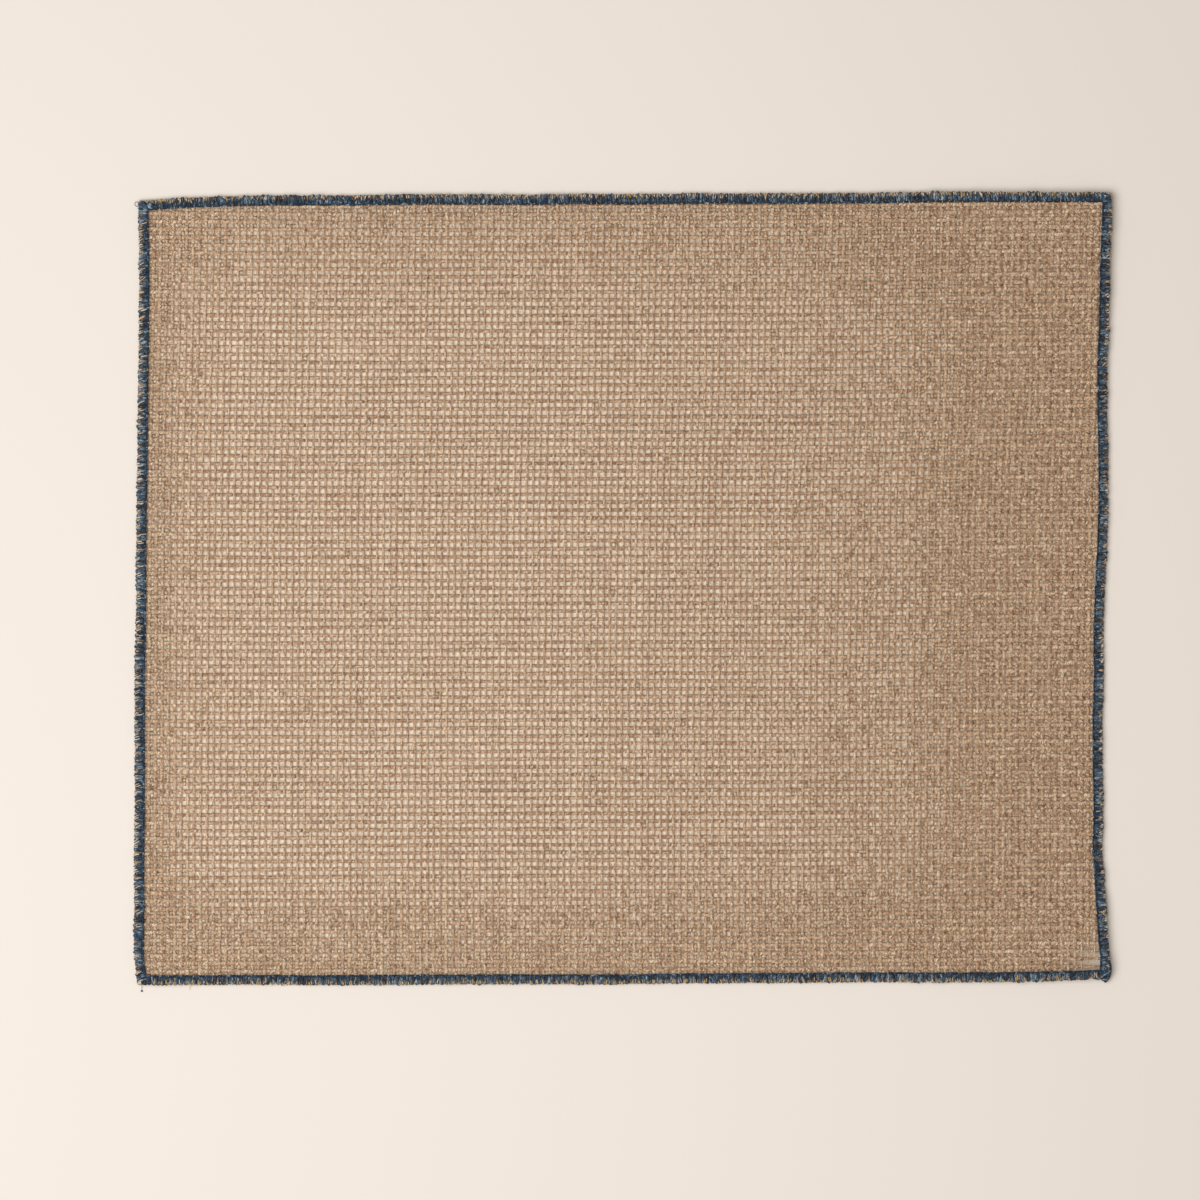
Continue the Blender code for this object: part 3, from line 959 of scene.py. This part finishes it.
def jute_yarn():
    """Undyed spun jute. Its coarse fibres give a dry, hairy yarn of mixed browns. Its colour noise is
    partly those browns and partly painted: painted shade between the strands of its twist, and painted
    highlights where single fibres catch the light."""
    material, tree, shader = new_material("spun_jute")
    place = twisted_place(tree, 4.0, 0.6, 0.7)
    fibres = add_node(tree, "TexNoise", {"Vector": place, "Scale": 1.9, "Detail": 3.0,
                                         "Roughness": 0.6})
    tone = add_node(tree, "Attribute", attribute_name="tone")
    lift = add_node(tree, "Math", {0: tone.outputs["Fac"], 1: 0.036,
                                   2: fibres.outputs["Fac"]}, operation="MULTIPLY_ADD")
    # The ramp gives the jute's own browns, and also painted shade in the twist and painted highlights on
    # single fibres.
    colour = add_node(tree, "ValToRGB", {"Fac": lift.outputs[0]})
    set_ramp(colour, [(0.34, "#664834"), (0.44, "#9f7b61"), (0.53, "#ccaa8b"),
                      (0.66, "#fbe8cd"), (0.80, "#fff4e2")])
    gold = add_node(tree, "Attribute", attribute_name="gold")
    # The mix node repeats its socket names for each kind of value, so it is linked by place.
    gilt = add_node(tree, "Mix", {0: gold.outputs["Fac"], 6: colour.outputs["Color"],
                                  7: hex_colour("#d9a545")}, data_type="RGBA")
    bump = add_node(tree, "Bump", {"Height": fibres.outputs["Fac"], "Strength": 0.8,
                                   "Distance": 0.35 * MM})
    set_inputs(tree, shader, {
        "Base Color": gilt.outputs[2],
        "Normal": bump.outputs["Normal"],
        "Roughness": 0.9,
        "Specular IOR Level": 0.25,
        "Sheen Weight": 0.6,
        "Sheen Roughness": 0.5,
        "Sheen Tint": hex_colour("#f3d9b8"),
        "Subsurface Weight": 0.4,
        "Subsurface Radius": (1.0, 0.8, 0.6),
        "Subsurface Scale": 1.0 * MM,
    })
    return material


def navy_thread():
    """Textured polyester overlock thread, dyed navy. Its crimped filaments give a soft, matt thread. Its
    colour noise paints shade between the filaments, near black, and thin paler glints, which are painted
    highlights."""
    material, tree, shader = new_material("textured_polyester_thread")
    place = twisted_place(tree, 6.0, 0.9, 1.0)
    filaments = add_node(tree, "TexNoise", {"Vector": place, "Scale": 2.6, "Detail": 3.0,
                                            "Roughness": 0.7})
    tone = add_node(tree, "Attribute", attribute_name="tone")
    lift = add_node(tree, "Math", {0: tone.outputs["Fac"], 1: 0.045,
                                   2: filaments.outputs["Fac"]}, operation="MULTIPLY_ADD")
    # The ramp runs from painted shade, near black, through the navy of the dye to painted highlight,
    # pale blue.
    colour = add_node(tree, "ValToRGB", {"Fac": lift.outputs[0]})
    set_ramp(colour, [(0.34, "#0a121c"), (0.47, "#182d43"), (0.57, "#34546d"),
                      (0.70, "#a8bac6")])
    bump = add_node(tree, "Bump", {"Height": filaments.outputs["Fac"], "Strength": 0.7,
                                   "Distance": 0.25 * MM})
    set_inputs(tree, shader, {
        "Base Color": colour.outputs["Color"],
        "Normal": bump.outputs["Normal"],
        "Roughness": 0.75,
        "Specular IOR Level": 0.35,
        "Sheen Weight": 0.15,
    })
    return material


WARM_LIGHT_PATCH = (0.221, 0.178)  # half the width and height of the card's part that is painted warmer, as warm light through the jute, in metres


def floor_card():
    """Pale matt card, plain but for a very faint grain. Light that comes through jute is warm, so the
    card is painted a little warmer where the mat covers it: painted light."""
    material, tree, shader = new_material("pale_card")
    place = add_node(tree, "TexCoord")
    grain = add_node(tree, "TexNoise", {"Vector": place.outputs["Object"], "Scale": 260.0,
                                        "Detail": 2.0})
    bump = add_node(tree, "Bump", {"Height": grain.outputs["Fac"], "Strength": 0.06,
                                   "Distance": 0.2 * MM})
    split = add_node(tree, "SeparateXYZ", {"Vector": place.outputs["Object"]})
    within = [add_node(tree, "Math", {0: split.outputs[axis], 1: 0.0, 2: reach},
                       operation="COMPARE") for axis, reach in zip("XY", WARM_LIGHT_PATCH)]
    painted_warm_light = add_node(tree, "Math", {0: within[0].outputs[0], 1: within[1].outputs[0]},
                       operation="MULTIPLY")
    # Painted light: the card's colour is warmer under the mat.
    colour = add_node(tree, "Mix", {0: painted_warm_light.outputs[0], 6: hex_colour("#ece4dc"),
                                    7: hex_colour("#f2e4d3")}, data_type="RGBA")
    set_inputs(tree, shader, {
        "Base Color": colour.outputs[2],
        "Normal": bump.outputs["Normal"],
        "Roughness": 0.9,
        "Specular IOR Level": 0.2,
    })
    return material


def dress(piece, material, slot, *nodes):
    """Gives a piece its material and its place in the frame."""
    piece.data.materials.append(material)
    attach(piece, "root")
    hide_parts(*nodes)
    return piece


# ---------------------------------------------------------------- floor, light and camera

VIEW_CENTRE = (-10.44, -5.30)  # the picture's middle, to the left of the mat's and below it
VIEW_WIDTH = 558.1
VIEW_DISTANCE = 2200.0

# The floor, and a light that is large and up on the left, in metres and watts.
FLOOR_REACH = 3.0
KEY_PLACE = (-0.62, -0.18, 1.6)
KEY_SIZE = 1.6
KEY_POWER = 30.5
SURROUND_STRENGTH = 0.28


def make_floor():
    """A plain floor of pale card."""
    floor = bpy.data.meshes.new("floor")
    sheet = bmesh.new()
    bmesh.ops.create_grid(sheet, x_segments=1, y_segments=1, size=FLOOR_REACH)
    sheet.to_mesh(floor)
    sheet.free()
    placed = bpy.data.objects.new("floor", floor)
    floor.materials.append(floor_card())
    bpy.context.scene.collection.objects.link(placed)


def make_lights():
    """A soft light that is aimed at the mat's middle, and an even pale surround."""
    key = bpy.data.lights.new("key", "AREA")
    key.shape = "SQUARE"
    key.size = KEY_SIZE
    key.energy = KEY_POWER
    placed = bpy.data.objects.new("key", key)
    placed.location = KEY_PLACE
    placed.rotation_euler = (-placed.location).to_track_quat("-Z", "Y").to_euler()
    bpy.context.scene.collection.objects.link(placed)
    world = bpy.data.worlds.new("studio")
    world.use_nodes = True
    shade = world.node_tree.nodes["Background"]
    shade.inputs["Color"].default_value = hex_colour("#fff5e6")
    shade.inputs["Strength"].default_value = SURROUND_STRENGTH
    bpy.context.scene.world = world
    bpy.context.scene.view_settings.view_transform = "Standard"


def make_camera():
    """A camera straight over the mat."""
    lens = bpy.data.cameras.new("camera")
    camera = bpy.data.objects.new("camera", lens)
    lens.lens = lens.sensor_width * VIEW_DISTANCE / VIEW_WIDTH
    camera.location = Vector((*VIEW_CENTRE, VIEW_DISTANCE)) * MM
    bpy.context.scene.collection.objects.link(camera)
    bpy.context.scene.camera = camera


# ---------------------------------------------------------------- the whole

def main():
    make_camera()
    make_lights()
    make_floor()
    jute = jute_yarn()
    navy = navy_thread()
    strips, warps, wefts = make_weave(jute)
    runs = [make_run(side, navy) for side in SIDES]
    ends = make_cut_ends(jute, warps, wefts)
    fuzz = make_fuzz(jute, warps, wefts)


main()
